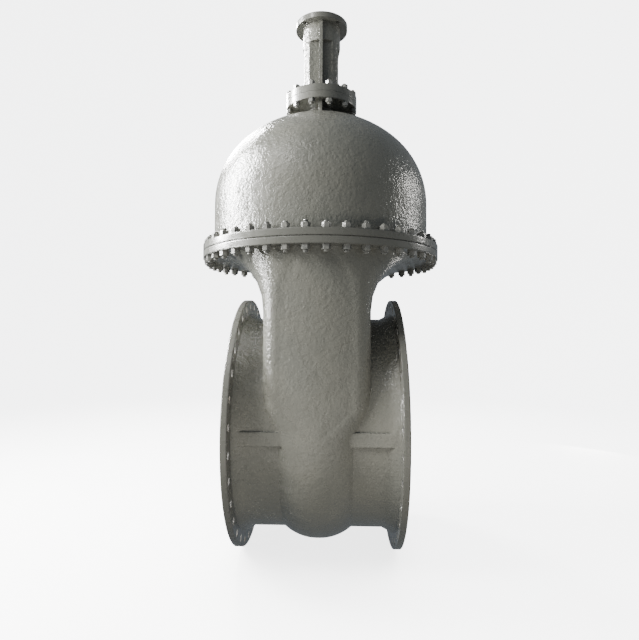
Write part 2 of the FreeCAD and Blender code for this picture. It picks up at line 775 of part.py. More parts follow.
def make_stem():
    chamfer = "stem_radius / 7"
    profile = [
        ("0", STEM_TIP),
        (f"stem_radius - {chamfer}", STEM_TIP),
        ("stem_radius", f"{STEM_TIP} + {chamfer}"),
        ("stem_radius", COLLAR_LOW),
        ("collar_radius", COLLAR_LOW),
        ("collar_radius", COLLAR_HIGH),
        ("stem_radius", COLLAR_HIGH),
        ("stem_radius", TOP),
        ("drive_radius", TOP),
        ("drive_radius", f"{TOP} + drive_length"),
        ("0", f"{TOP} + drive_length"),
    ]
    blank = turned("stem_blank", profile)
    end = f"{TOP} + drive_length"
    keyway = box(
        "keyway", "keyway_width", "drive_radius", f"{end} - keyway_length", f"{end} + keyway_length",
        y="-(drive_radius - keyway_depth + drive_radius / 2)")
    keep("stem", cut("stem", blank, keyway))


def make_bonnet():
    low, high = worth(JOINT_HIGH), worth(f"{JOINT_HIGH} + middle_flange_thick")
    outside = worked_out("dome_form", dome(0, low))
    plate = worked_out("bonnet_plate", oval_plate(flange_radius, low, high))
    crown = f"({CROWN} - 2 * housing_wall)"
    neck = cylinder("bonnet_neck", "bonnet_neck_radius", crown, NECK_LOW)
    flange = cylinder("neck_flange", "neck_flange_radius", NECK_LOW, NECK_TOP)
    ribs = [
        box("bonnet_rib_along", "2 * bonnet_rib_reach", "rib_thick", crown, NECK_LOW),
        box("bonnet_rib_across", "rib_thick", "2 * bonnet_rib_reach", crown, NECK_LOW),
    ]
    solid = fuse("bonnet_solid", outside, plate, neck, flange, *ribs)
    stem_way = cylinder("bush_hole", "bush_radius", DOME_CENTRE, NECK_TOP)
    stuffing_box = cylinder("stuffing_box", "box_radius", BOX_FLOOR, f"{NECK_TOP} + box_depth")
    middle_holes = worked_out("bonnet_holes", stud_row(middle_places, size("middle_hole_radius"), low - 1, high + 1))
    neck_low, neck_high = worth(NECK_LOW), worth(NECK_TOP)
    neck_holes = worked_out("neck_holes", stud_row(neck_places, size("neck_hole_radius"), neck_low - 1, neck_high + 1))
    gland_taps = worked_out("gland_taps", stud_row(
        gland_places, size("gland_stud_radius"), neck_high - size("gland_stud_depth"), neck_high + 1))
    keep("bonnet", cut("bonnet", solid, dome_room, stem_way, stuffing_box, middle_holes, neck_holes, gland_taps))


def make_middle_joint():
    low, high = worth(JOINT_LOW), worth(JOINT_HIGH)
    inner = worth(DOME_WIDTH) - wall
    outside = oval_plate(inner + size("gasket_width"), low, high)
    keep("bonnet_gasket", worked_out("bonnet_gasket", outside.cut(oval_plate(inner, low - 1, high + 1))))
    under = low - size("middle_flange_thick")
    over = high + size("middle_flange_thick")
    nut_width, nut_height = size("middle_nut_width"), size("middle_nut_height")
    keep("bonnet_studs", worked_out("bonnet_studs", stud_row(middle_places, size("middle_stud_radius"), under, over)))
    keep("bonnet_nuts_upper", worked_out("bonnet_nuts_upper", nut_row(middle_places, nut_width, over, nut_height)))
    keep("bonnet_nuts_lower", worked_out(
        "bonnet_nuts_lower", nut_row(middle_places, nut_width, under - nut_height, nut_height)))


def make_stuffing():
    bush_low = f"{DOME_CENTRE} + dome_rise - housing_wall"
    keep("neck_bush", turned("neck_bush", ring_profile(
        "stem_radius + running_clearance", "bush_radius", bush_low, BOX_FLOOR)))
    rings = []
    inner = size("stem_radius") + size("running_clearance")
    height = size("packing_ring_height")
    for i in range(count("packing_count")):
        base = V(0, 0, worth(BOX_FLOOR) + i * height)
        rings.append(Part.makeCylinder(size("box_radius"), height, base).cut(Part.makeCylinder(inner, height, base)))
    keep("packing_rings", worked_out("packing_rings", Part.makeCompound(rings)))
    stem_clear = "stem_radius + free_clearance"
    follower = "box_radius - free_clearance"
    keep("gland", turned("gland", [
        (stem_clear, PACKING_TOP),
        (follower, PACKING_TOP),
        (follower, GLAND_TOP),
        (stem_clear, GLAND_TOP),
    ]))
    top = worth(f"{GLAND_TOP} + gland_flange_thick")
    plate = turned("gland_flange_blank", ring_profile(
        stem_clear, "gland_flange_radius", GLAND_TOP, f"{GLAND_TOP} + gland_flange_thick"))
    clear = size("gland_stud_radius") + size("free_clearance")
    holes = worked_out("gland_flange_holes", stud_row(gland_places, clear, worth(GLAND_TOP) - 1, top + 1))
    keep("gland_flange", cut("gland_flange", plate, holes))
    low = worth(f"{NECK_TOP} - gland_stud_depth")
    keep("gland_studs", worked_out("gland_studs", stud_row(gland_places, size("gland_stud_radius"), low, top)))
    keep("gland_nuts", worked_out(
        "gland_nuts", nut_row(gland_places, size("gland_nut_width"), top, size("gland_nut_height"))))


def make_yoke():
    foot = cylinder("yoke_foot", "neck_flange_radius", NECK_TOP, FOOT_TOP)
    column = cylinder("yoke_column", "yoke_radius", FOOT_TOP, f"{TOP} - top_flange_thick")
    flange = cylinder("top_flange", "top_flange_radius", f"{TOP} - top_flange_thick", TOP)
    rib_top = f"{TOP} - top_flange_thick"
    ribs = box("yoke_ribs", "rib_thick", "2 * (yoke_radius + yoke_rib_rise)", FOOT_TOP, rib_top)
    gussets = slab("yoke_gussets", [
        ("-(yoke_radius + gusset_reach)", FOOT_TOP),
        ("yoke_radius + gusset_reach", FOOT_TOP),
        ("yoke_radius - rib_thick", f"{FOOT_TOP} + gusset_height"),
        ("-(yoke_radius - rib_thick)", f"{FOOT_TOP} + gusset_height"),
    ], "rib_thick")
    pockets = [
        box(
            f"yoke_pocket_{front}_{right}", "pocket_width", "yoke_radius", FOOT_TOP, HEAD_LOW,
            x=f"{right} * (rib_thick + pocket_width) / 2", y=f"{front} * (pocket_floor + yoke_radius / 2)")
        for front in (-1, 1) for right in (-1, 1)
    ]
    column_cut = cut("column_pocketed", column, *pockets)
    solid = fuse("yoke_solid", foot, column_cut, flange, ribs, gussets)
    bore = cylinder("yoke_bore", "yoke_bore_radius", f"{NECK_TOP} - 1", HEAD_LOW)
    stem_hole = cylinder("head_hole", "stem_radius + 4 * free_clearance", HEAD_LOW, TOP)
    bearing_bore = cylinder("bearing_bore", "bearing_radius", BEARING_LOW, f"{TOP} + 1")
    recess = cylinder("cover_recess", "cover_radius + free_clearance", f"{TOP} - cover_thick", f"{TOP} + 1")
    arch_height = f"{HEAD_LOW} - window_half_width"
    window = box(
        "yoke_window", "4 * yoke_radius", "2 * window_half_width", f"{FOOT_TOP} + window_sill", arch_height)
    arch = pipe_cylinder("yoke_arch", "window_half_width", "4 * yoke_radius")
    move(arch, z=arch_height)
    neck_low, neck_high = worth(NECK_TOP), worth(FOOT_TOP)
    foot_holes = worked_out("foot_holes", stud_row(neck_places, size("neck_hole_radius"), neck_low - 1, neck_high + 1))
    top = worth(TOP)
    top_places = circle_places(size("top_bolt_circle"), count("top_bolts"))
    top_holes = worked_out("top_holes", stud_row(
        top_places, size("top_hole_radius"), top - size("top_flange_thick") - 1, top + 1))
    seat = top - size("cover_thick")
    taps = worked_out("cover_taps", stud_row(
        cover_places, size("cover_screw_radius"), seat - size("cover_screw_depth") + size("cover_thick"), top + 1))
    keep("yoke", cut(
        "yoke", solid, bore, stem_hole, bearing_bore, recess, window, arch, foot_holes, top_holes, taps))


def make_neck_joint():
    low, high = worth(NECK_LOW), worth(FOOT_TOP)
    width, height = size("neck_nut_width"), size("neck_nut_height")
    keep("yoke_studs", worked_out("yoke_studs", stud_row(neck_places, size("neck_stud_radius"), low, high)))
    keep("yoke_nuts_upper", worked_out("yoke_nuts_upper", nut_row(neck_places, width, high, height)))
    keep("yoke_nuts_lower", worked_out("yoke_nuts_lower", nut_row(neck_places, width, low - height, height)))


def make_bearing(name, low):
    """A thrust bearing: two washers with the roller cage between them."""
    inner, outer = size("stem_radius") + size("free_clearance"), size("bearing_radius")
    base, thick = worth(low), size("bearing_thick")
    washer, inset = size("washer_thick"), size("cage_inset")
    rings = []
    for start, finish, narrower in ((0, washer, 0), (washer, thick - washer, inset), (thick - washer, thick, 0)):
        foot = V(0, 0, base + start)
        outside = Part.makeCylinder(outer - narrower, finish - start, foot)
        rings.append(outside.cut(Part.makeCylinder(inner + narrower, finish - start, foot)))
    keep(name, worked_out(name, Part.makeCompound(rings)))


def make_cover():
    hole = "stem_radius + free_clearance"
    seat = f"{TOP} - cover_thick"
    blank = turned("cover_blank", [
        (hole, BEARING_HIGH),
        ("bearing_radius - free_clearance", BEARING_HIGH),
        ("bearing_radius - free_clearance", seat),
        ("cover_radius", seat),
        ("cover_radius", TOP),
        (hole, TOP),
    ])
    top = worth(TOP)
    clear = size("cover_screw_radius") + size("free_clearance")
    head_seat = top - size("cover_head_height")
    holes = worked_out("cover_holes", stud_row(cover_places, clear, top - size("cover_thick") - 1, top + 1))
    head_clear = size("cover_head_radius") + size("free_clearance")
    sinks = worked_out("cover_sinks", stud_row(cover_places, head_clear, head_seat, top + 1))
    keep("bearing_cover", cut("bearing_cover", blank, holes, sinks))
    keep("cover_screws", worked_out("cover_screws", screw_row(
        cover_places, size("cover_screw_radius"), top - size("cover_screw_depth"), head_seat,
        size("cover_head_radius"), size("cover_head_height"))))


make_body()
make_seats()
make_rails()
make_gate()
make_stem_nut()
make_stem()
make_bonnet()
make_middle_joint()
make_stuffing()
make_yoke()
make_neck_joint()
make_bearing("thrust_bearing_lower", BEARING_LOW)
make_bearing("thrust_bearing_upper", COLLAR_HIGH)
make_cover()

doc.recompute()

for item in doc.Objects:
    troubles = [word for word in ("Invalid", "Error") if word in item.State]
    if troubles:
        raise RuntimeError(f"{item.Label} is {troubles[0]}")
for name, piece in parts.items():
    if piece.Shape.isNull() or not piece.Shape.isValid():
        raise RuntimeError(f"{name} has no valid shape")

os.makedirs("parts", exist_ok=True)
for name, piece in parts.items():
    piece.Shape.exportStep(f"parts/{name}.step")
    print(name, len(piece.Shape.Solids), "solids", round(piece.Shape.Volume / 1e6, 3), "litres")
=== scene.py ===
import json
import math

import bmesh
import bpy
from mathutils import Matrix, Vector


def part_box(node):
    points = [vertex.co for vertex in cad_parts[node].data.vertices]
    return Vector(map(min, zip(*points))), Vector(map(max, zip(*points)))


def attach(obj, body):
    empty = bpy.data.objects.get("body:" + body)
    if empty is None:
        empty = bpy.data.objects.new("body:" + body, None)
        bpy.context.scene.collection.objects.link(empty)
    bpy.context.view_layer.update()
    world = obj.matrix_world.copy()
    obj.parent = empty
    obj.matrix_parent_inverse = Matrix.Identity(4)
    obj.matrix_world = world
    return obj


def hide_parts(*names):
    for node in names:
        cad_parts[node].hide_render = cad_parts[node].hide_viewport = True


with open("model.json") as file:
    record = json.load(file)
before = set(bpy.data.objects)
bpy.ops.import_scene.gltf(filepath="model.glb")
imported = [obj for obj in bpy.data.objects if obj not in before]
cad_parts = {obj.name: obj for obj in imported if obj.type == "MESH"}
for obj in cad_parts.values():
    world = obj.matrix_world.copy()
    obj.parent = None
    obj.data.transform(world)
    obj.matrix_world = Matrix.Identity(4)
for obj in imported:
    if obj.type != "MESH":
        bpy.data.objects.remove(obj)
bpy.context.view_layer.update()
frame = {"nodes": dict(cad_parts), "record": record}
nodes = frame["nodes"]

# Lengths are in metres. X runs along the pipe, Z is up, and the pipe's axis is at Y 0, Z 0.

STEM_X = 0.46
FLOOR_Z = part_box("body")[0][2]
TURN = 2 * math.pi

# Where machined skin and bare metal begin or end, each a short fade from one number to the other.
# "Away" is the distance along the pipe from the stem's axis.
PIPE_FLANGES_TOP = (0.735, 0.745)
RIM_AWAY = (0.416, 0.424)
RAISED_FACE_AWAY = (0.4588, 0.4596)
DRILLED_AWAY = (0.415, 0.416)
MIDDLE_FLANGE_BOTTOM = (0.953, 0.959)
MIDDLE_FLANGE_TOP = (0.993, 0.998)
BONNET_FLANGE_TOP = (1.033, 1.037)
NECK_FLANGE_BOTTOM = (1.897, 1.901)
YOKE_FOOT_TOP = (1.980, 1.984)
YOKE_FLANGE_BOTTOM = (2.409, 2.413)

END_CIRCLE_RADIUS = 0.690
END_HOLES = 32
END_HOLE_EDGE = (0.0196, 0.0199)
FACE_GROOVE_PITCH = 0.0016

GREY = (0.150, 0.151, 0.131)
GREY_WARM = (0.178, 0.175, 0.148)
# Darker grey, for the random paint runs and for the painted shade on the machined rims and faces.
GREY_RUNS_AND_SHADE = (0.110, 0.111, 0.099)
GREY_WORN = (0.215, 0.210, 0.180)
NUT_DARK = (0.140, 0.142, 0.131)
NUT_LIGHT = (0.215, 0.214, 0.192)
NUT_BARE = (0.43, 0.42, 0.39)
FACE_STEEL = (0.62, 0.61, 0.59)
FACE_STAIN = (0.40, 0.37, 0.33)
FLOOR_WHITE = (0.80, 0.80, 0.79)
FLOOR_LIGHTER = (0.84, 0.84, 0.83)


# Materials. Textures use the object's own coordinates, so one unit of a texture is one metre.

MIX_COLORS = (6, 7)  # where a mix node has its two colours among its inputs


class Paint:
    """Builds a node material step by step."""

    def __init__(
        self, name, color, roughness, metallic=0.0, coat=0.0, coat_roughness=0.2, specular=0.5,
    ):
        self.material = bpy.data.materials.new(name)
        self.material.use_nodes = True
        self.tree = self.material.node_tree
        self.shader = self.tree.nodes["Principled BSDF"]
        for key, value in (
            ("Base Color", (*color, 1)), ("Roughness", roughness), ("Metallic", metallic),
            ("Coat Weight", coat), ("Coat Roughness", coat_roughness),
            ("Specular IOR Level", specular),
        ):
            self.shader.inputs[key].default_value = value
        self.coated = coat > 0
        self.place = self.node("ShaderNodeTexCoord").outputs["Object"]
        split = self.node("ShaderNodeSeparateXYZ")
        self.link(self.place, split.inputs[0])
        self.x, self.y, self.z = split.outputs

    def node(self, kind, **settings):
        item = self.tree.nodes.new(kind)
        for key, value in settings.items():
            setattr(item, key, value)
        return item

    def link(self, source, target):
        self.tree.links.new(source, target)

    def put(self, value, target):
        """Sets an input to a number, or links it where the value comes from another node."""
        if isinstance(value, (int, float)):
            target.default_value = value
        else:
            self.link(value, target)

    def math(self, operation, *values):
        item = self.node("ShaderNodeMath", operation=operation)
        for value, target in zip(values, item.inputs):
            self.put(value, target)
        return item.outputs[0]

    def times(self, first, second):
        return self.math("MULTIPLY", first, second)

    def minus(self, first, second):
        return self.math("SUBTRACT", first, second)

    def sine(self, value):
        return self.math("SINE", value)

    def hypotenuse(self, first, second):
        squares = self.math("ADD", self.times(first, first), self.times(second, second))
        return self.math("SQRT", squares)

    def layers(self, *terms):
        """Adds up values, each times its weight."""
        total = None
        for value, weight in terms:
            part = self.times(value, weight)
            total = part if total is None else self.math("ADD", total, part)
        return total

    def noise(self, scale, detail=3.0, rough=0.55, stretch=None):
        item = self.node("ShaderNodeTexNoise")
        item.inputs["Scale"].default_value = scale
        item.inputs["Detail"].default_value = detail
        item.inputs["Roughness"].default_value = rough
        source = self.place
        if stretch:
            mapping = self.node("ShaderNodeMapping")
            mapping.inputs["Scale"].default_value = stretch
            self.link(source, mapping.inputs["Vector"])
            source = mapping.outputs[0]
        self.link(source, item.inputs["Vector"])
        return item.outputs["Fac"]

    def cells(self, scale):
        """Distance to the nearest of many scattered points."""
        item = self.node("ShaderNodeTexVoronoi")
        item.inputs["Scale"].default_value = scale
        self.link(self.place, item.inputs["Vector"])
        return item.outputs["Distance"]

    def span(self, value, low, high, to_low=0.0, to_high=1.0):
        """Fades from to_low, where the value is low, to to_high, where it is high."""
        item = self.node("ShaderNodeMapRange", interpolation_type="SMOOTHSTEP")
        self.link(value, item.inputs["Value"])
        item.inputs["From Min"].default_value = low
        item.inputs["From Max"].default_value = high
        item.inputs["To Min"].default_value = to_low
        item.inputs["To Max"].default_value = to_high
        return item.outputs[0]

    def above(self, value, edge):
        return self.span(value, *edge)

    def below(self, value, edge):
        return self.span(value, *edge, 1.0, 0.0)

    def mix(self, factor, first, second):
        item = self.node("ShaderNodeMix", data_type="RGBA")
        self.link(factor, item.inputs["Factor"])
        for index, value in zip(MIX_COLORS, (first, second)):
            if isinstance(value, tuple):
                item.inputs[index].default_value = (*value, 1)
            else:
                self.link(value, item.inputs[index])
        return item.outputs[2]

    def color(self, value):
        self.link(value, self.shader.inputs["Base Color"])

    def rough(self, value):
        self.link(value, self.shader.inputs["Roughness"])

    def metal(self, value):
        self.link(value, self.shader.inputs["Metallic"])

    def bump(self, height, distance, strength, normal=None):
        item = self.node("ShaderNodeBump")
        item.inputs["Distance"].default_value = distance
        self.put(strength, item.inputs["Strength"])
        self.link(height, item.inputs["Height"])
        if normal:
            self.link(normal, item.inputs["Normal"])
        self.link(item.outputs[0], self.shader.inputs["Normal"])
        if self.coated:
            self.link(item.outputs[0], self.shader.inputs["Coat Normal"])

    def soft_edges(self, radius):
        item = self.node("ShaderNodeBevel", samples=6)
        item.inputs["Radius"].default_value = radius
        return item.outputs[0]


def away_from_stem(paint):
    return paint.math("ABSOLUTE", paint.minus(paint.x, STEM_X))


def at_pipe_level(paint):
    """One as high as the end flanges reach, nothing at the middle flange."""
    return paint.below(paint.z, PIPE_FLANGES_TOP)


def body_zone(paint):
    """One on the end flanges' turned rims and faces and on the rim of the middle flange."""
    ends = paint.times(paint.above(away_from_stem(paint), RIM_AWAY), at_pipe_level(paint))
    middle_rim = paint.times(
        paint.above(paint.z, MIDDLE_FLANGE_BOTTOM), paint.below(paint.z, MIDDLE_FLANGE_TOP))
    return paint.math("MAXIMUM", ends, middle_rim)


def bonnet_zone(paint):
    """One on the bonnet's oval flange and on its neck flange."""
    oval_flange = paint.below(paint.z, BONNET_FLANGE_TOP)
    neck_flange = paint.above(paint.z, NECK_FLANGE_BOTTOM)
    return paint.math("MAXIMUM", oval_flange, neck_flange)


def yoke_zone(paint):
    """One on the yoke's foot flange and on its top flange."""
    foot = paint.below(paint.z, YOKE_FOOT_TOP)
    top_flange = paint.above(paint.z, YOKE_FLANGE_BOTTOM)
    return paint.math("MAXIMUM", foot, top_flange)


def end_faces(paint):
    """One on the raised faces of both ends, which are turned and left bare."""
    return paint.times(paint.above(away_from_stem(paint), RAISED_FACE_AWAY), at_pipe_level(paint))


def drilled_walls(paint):
    """One on the walls of the end flanges' holes, which are drilled after painting."""
    radius = paint.hypotenuse(paint.y, paint.z)
    step = TURN / END_HOLES
    turn = paint.math("FLOORED_MODULO", paint.math("ARCTAN2", paint.z, paint.y), step)
    turn = paint.minus(turn, step / 2)
    outwards = paint.minus(paint.times(radius, paint.math("COSINE", turn)), END_CIRCLE_RADIUS)
    sideways = paint.times(radius, paint.sine(turn))
    inside_hole = paint.below(paint.hypotenuse(outwards, sideways), END_HOLE_EDGE)
    return paint.times(paint.above(away_from_stem(paint), DRILLED_AWAY), inside_hole)


def cast_paint(name, edge_radius, machined, bare_ends=False):
    """Semi-gloss grey enamel over a sand-cast skin, smoother where it was machined, with painted
    shade darkening it there.
    """
    paint = Paint(name, GREY, 0.36, coat=0.45, coat_roughness=0.085)
    smooth_and_shaded = machined(paint)

    patches = paint.noise(3.2, detail=4.0)
    runs = paint.noise(14.0, detail=3.0, stretch=(1.0, 1.0, 0.22))
    grime = paint.noise(60.0, detail=5.0, rough=0.65)
    shade = paint.mix(paint.span(patches, 0.35, 0.68, 0.1, 0.7), GREY, GREY_WARM)
    shade = paint.mix(paint.span(runs, 0.45, 0.85, 0.0, 0.12), shade, GREY_RUNS_AND_SHADE)
    shade = paint.mix(paint.span(grime, 0.52, 0.80, 0.0, 0.08), shade, GREY_WORN)
    # Painted shade: the machined rims and faces get a darker colour, standing in for their smoother
    # paint scattering less light.
    shade = paint.mix(paint.times(smooth_and_shaded, 0.6), shade, GREY_RUNS_AND_SHADE)

    pits = paint.span(paint.cells(105.0), 0.05, 0.45)
    dimples = paint.noise(80.0, detail=3.0, rough=0.5)
    ripples = paint.noise(42.0, detail=3.0, rough=0.5)
    swell = paint.noise(7.0, detail=2.0, rough=0.5)
    height = paint.layers((pits, 0.45), (dimples, 2.5), (ripples, 4.0), (swell, 7.0))

    if bare_ends:
        bare = paint.math("MAXIMUM", end_faces(paint), drilled_walls(paint))
        stain = paint.span(paint.noise(18.0, detail=5.0), 0.45, 0.7)
        shade = paint.mix(bare, shade, paint.mix(stain, FACE_STEEL, FACE_STAIN))
        paint.metal(paint.times(bare, 0.7))
        radius = paint.hypotenuse(paint.y, paint.z)
        grooves = paint.sine(paint.times(radius, TURN / FACE_GROOVE_PITCH))
        height = paint.layers((height, 1.0), (paint.times(grooves, bare), 0.25))

    paint.color(shade)
    paint.rough(paint.span(paint.noise(22.0, detail=4.0), 0.3, 0.7, 0.24, 0.36))
    strength = paint.span(smooth_and_shaded, 0.0, 1.0, 1.0, 0.10)
    paint.bump(height, distance=0.001, strength=strength, normal=paint.soft_edges(edge_radius))
    return paint.material


def bolt_paint(name):
    """Grey enamel on nuts and stud ends, thin and chipped in spots."""
    paint = Paint(name, GREY, 0.3, coat=0.6, coat_roughness=0.08)
    wear = paint.span(paint.noise(150.0, detail=5.0, rough=0.7), 0.56, 0.66)
    shade = paint.mix(paint.span(paint.noise(24.0), 0.35, 0.65), NUT_DARK, NUT_LIGHT)
    paint.color(paint.mix(wear, shade, NUT_BARE))
    paint.metal(paint.times(wear, 0.5))
    paint.rough(paint.span(paint.noise(90.0), 0.3, 0.7, 0.26, 0.5))
    grain = paint.noise(420.0, detail=3.0)
    paint.bump(grain, distance=0.0005, strength=0.5, normal=paint.soft_edges(0.0012))
    return paint.material


def turned_metal(name, color, roughness, marks_along, pitch, depth=0.00025):
    """Machined metal with tool marks and dark oily stains.

    The marks are rings, one after the other up the stem, out from the stem or out from the
    pipe's axis.
    """
    paint = Paint(name, color, roughness, metallic=0.95)
    if marks_along == "up_stem":
        along = paint.z
    elif marks_along == "from_stem":
        along = paint.hypotenuse(paint.minus(paint.x, STEM_X), paint.y)
    else:
        along = paint.hypotenuse(paint.y, paint.z)
    marks = paint.sine(paint.times(along, TURN / pitch))
    stain = paint.span(paint.noise(26.0, detail=5.0), 0.45, 0.72)
    dark = tuple(channel * 0.55 for channel in color)
    paint.color(paint.mix(stain, color, dark))
    polish = paint.noise(55.0, detail=4.0)
    paint.rough(paint.span(polish, 0.3, 0.7, roughness - 0.08, roughness + 0.14))
    height = paint.layers((marks, 0.35), (paint.noise(500.0, detail=2.0), 1.0))
    paint.bump(height, distance=depth, strength=0.6, normal=paint.soft_edges(0.001))
    return paint.material


def iron(name):
    """Ductile iron with a thin grey primer, rough as cast, with some rust."""
    paint = Paint(name, (0.13, 0.128, 0.122), 0.55, metallic=0.15)
    rust = paint.span(paint.noise(12.0, detail=6.0, rough=0.65), 0.58, 0.74)
    primer = paint.span(paint.noise(5.0), 0.35, 0.7)
    shade = paint.mix(primer, (0.115, 0.115, 0.112), (0.165, 0.163, 0.155))
    paint.color(paint.mix(paint.times(rust, 0.6), shade, (0.17, 0.085, 0.045)))
    paint.rough(paint.span(paint.noise(40.0), 0.3, 0.7, 0.45, 0.68))
    height = paint.layers((paint.noise(130.0, detail=4.0), 1.0), (paint.noise(30.0), 1.4))
    paint.bump(height, distance=0.0018, strength=0.8, normal=paint.soft_edges(0.006))
    return paint.material


def rubber(name):
    """Black sheet gasket with a dusty bloom."""
    paint = Paint(name, (0.022, 0.022, 0.022), 0.75, specular=0.35)
    bloom = paint.span(paint.noise(70.0), 0.4, 0.7)
    paint.color(paint.mix(bloom, (0.02, 0.02, 0.02), (0.045, 0.045, 0.043)))
    paint.rough(paint.span(paint.noise(180.0), 0.3, 0.7, 0.62, 0.86))
    paint.bump(paint.noise(700.0, detail=3.0), distance=0.0003, strength=0.6)
    return paint.material


def braid(name):
    """Square-braided graphite packing, with its strands crossing round the stem."""
    paint = Paint(name, (0.045, 0.045, 0.047), 0.5, metallic=0.2)
    around = paint.times(paint.math("ARCTAN2", paint.y, paint.minus(paint.x, STEM_X)), 42.0)
    up = paint.times(paint.z, 900.0)
    one_way = paint.sine(paint.math("ADD", around, up))
    other_way = paint.sine(paint.minus(around, up))
    weave = paint.times(one_way, other_way)
    paint.color(paint.mix(paint.span(weave, -0.6, 0.6), (0.03, 0.03, 0.031), (0.075, 0.075, 0.078)))
    paint.rough(paint.span(paint.noise(300.0), 0.3, 0.7, 0.4, 0.62))
    paint.bump(weave, distance=0.0012, strength=0.7)
    return paint.material


CASTING = {
    "body": cast_paint("cast_paint_body", 0.012, body_zone, bare_ends=True),
    "bonnet": cast_paint("cast_paint_bonnet", 0.010, bonnet_zone),
    "yoke": cast_paint("cast_paint_yoke", 0.005, yoke_zone),
}
FINISH = {
    "bolting": bolt_paint("bolt_paint"),
    "seat_steel": turned_metal("seat_steel_turned", (0.60, 0.60, 0.585), 0.24, "from_pipe", 0.0022),
    "stem_steel": turned_metal(
        "stem_steel_ground", (0.57, 0.565, 0.55), 0.22, "up_stem", 0.0009, 0.0001),
    "bronze": turned_metal("bronze_machined", (0.60, 0.41, 0.20), 0.30, "up_stem", 0.0016),
    "rail_steel": turned_metal("rail_steel_milled", (0.50, 0.495, 0.48), 0.38, "up_stem", 0.004),
    "plated_steel": turned_metal("zinc_plated", (0.56, 0.565, 0.55), 0.34, "from_stem", 0.0014),
    "bearing_steel": turned_metal(
        "bearing_steel_ground", (0.62, 0.62, 0.61), 0.18, "from_stem", 0.0008, 0.0001),
    "gate_iron": iron("gate_iron_primed"),
    "gasket_rubber": rubber("gasket_sheet"),
    "packing": braid("packing_braid"),
}
slot_of = {entry["node"]: entry["material_slot"] for entry in frame["record"]["subparts"]}

for name, item in nodes.items():
    finish = CASTING.get(name) or FINISH[slot_of[name]]
    for place in item.material_slots:
        place.material = finish
    if not item.material_slots:
        item.data.materials.append(finish)


# Pieces. Bends are in degrees: a sharper one is shaded as an edge.

CASTING_BEND = 31
NUT_BEND = 35
THREAD_BEND = 50
WELD_DISTANCE = 0.00002


def new_piece(name, mesh, material):
    item = bpy.data.objects.new(name, mesh)
    bpy.context.scene.collection.objects.link(item)
    item.data.materials.clear()
    item.data.materials.append(material)
    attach(item, "root")
    return item


def smooth_casting(node):
    """The casting's own surface, shaded smoothly over gentle bends, where the metal flows on."""
    mesh = nodes[node].data.copy()
    mesh.name = node + "_skin"
    work = bmesh.new()
    work.from_mesh(mesh)
    bmesh.ops.remove_doubles(work, verts=work.verts, dist=WELD_DISTANCE)
    work.to_mesh(mesh)
    work.free()
    if "custom_normal" in mesh.attributes:
        mesh.attributes.remove(mesh.attributes["custom_normal"])
    mesh.shade_smooth()
    mesh.set_sharp_from_angle(angle=math.radians(CASTING_BEND))
    piece = new_piece(node + "_casting", mesh, CASTING[node])
    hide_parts(node)


for node in ("body", "bonnet"):
    smooth_casting(node)


def bridge(work, lower, upper, outwards):
    """Faces between two rings of as many points."""
    for i in range(len(lower)):
        j = (i + 1) % len(lower)
        corners = [lower[i], lower[j], upper[j], upper[i]]
        work.faces.new(corners if outwards else corners[::-1])


def cover(work, ring, outwards):
    work.faces.new(ring if outwards else ring[::-1])


def add_nut(work, center, facing, width, low, height, up):
    """Hexagon nut, a flat towards its facing angle, with chamfered corners and a sunk bore."""
    around = 36
    flat = width / 2
    round_to = flat * 0.97
    slope = math.tan(math.radians(30))
    sign = 1 if up else -1
    base = low if up else low + height
    # Each ring's radius and height above the seat, from the hexagon's reach at an angle.
    profile = (
        lambda reach: (flat * 0.9, 0.0),
        lambda reach: (reach, 0.0),
        lambda reach: (reach, height - max(0.0, reach - round_to) * slope),
        lambda reach: (round_to, height),
        lambda reach: (flat * 0.70, height),
        lambda reach: (flat * 0.64, height - flat * 0.07),
    )
    rings = []
    for point in profile:
        ring = []
        for i in range(around):
            angle = TURN * i / around
            from_flat = (math.degrees(angle) + 30) % 60 - 30
            radius, rise = point(flat / math.cos(math.radians(from_flat)))
            ring.append(work.verts.new((
                center[0] + radius * math.cos(facing + angle),
                center[1] + radius * math.sin(facing + angle),
                base + sign * rise)))
        rings.append(ring)
    for lower, upper in zip(rings, rings[1:]):
        bridge(work, lower, upper, up)
    cover(work, rings[-1], up)


def add_stud_end(work, center, radius, start, length, pitch, up):
    """A stud's threaded end, with its thread and its rounded point."""
    around = 18
    rows = int(length / pitch * 4)
    sign = 1 if up else -1
    previous = None
    for row in range(rows + 1):
        height = length * row / rows
        rounding = max(0.0, height - (length - radius * 0.22)) * 1.1
        ring = []
        for i in range(around):
            angle = TURN * i / around
            phase = (height / pitch - i / around) % 1.0
            depth = pitch * 0.52 * (1 - abs(2 * phase - 1))
            reach = radius - depth - rounding
            ring.append(work.verts.new((
                center[0] + reach * math.cos(angle),
                center[1] + reach * math.sin(angle),
                start + sign * height)))
        if previous:
            bridge(work, previous, ring, up)
        previous = ring
    cover(work, previous, up)


def oval_places(radius, stretch, number):
    """Even places on two half circles joined by straight lines, each 2 * stretch long along Y."""
    quarter = math.pi * radius / 2
    half = 2 * (stretch + quarter)
    places = []
    for i in range(number):
        side, along = divmod(2 * half * (i + 0.5) / number, half)
        sign = 1 if side == 0 else -1
        if along < stretch:
            spot = (sign * radius, sign * along)
        elif along > stretch + 2 * quarter:
            spot = (-sign * radius, sign * (half - along))
        else:
            angle = (along - stretch) / radius
            spot = (sign * radius * math.cos(angle), sign * (stretch + radius * math.sin(angle)))
        places.append(spot)
    return places


def circle_places(radius, number):
    """Even places on a circle, the first half a step away from X."""
    angles = [TURN * (i + 0.5) / number for i in range(number)]
    return [(radius * math.cos(angle), radius * math.sin(angle)) for angle in angles]


def finish_mesh(work, name, bend):
    bmesh.ops.recalc_face_normals(work, faces=work.faces)
    mesh = bpy.data.meshes.new(name)
    work.to_mesh(mesh)
    work.free()
    mesh.shade_smooth()
    mesh.set_sharp_from_angle(angle=math.radians(bend))
    return mesh


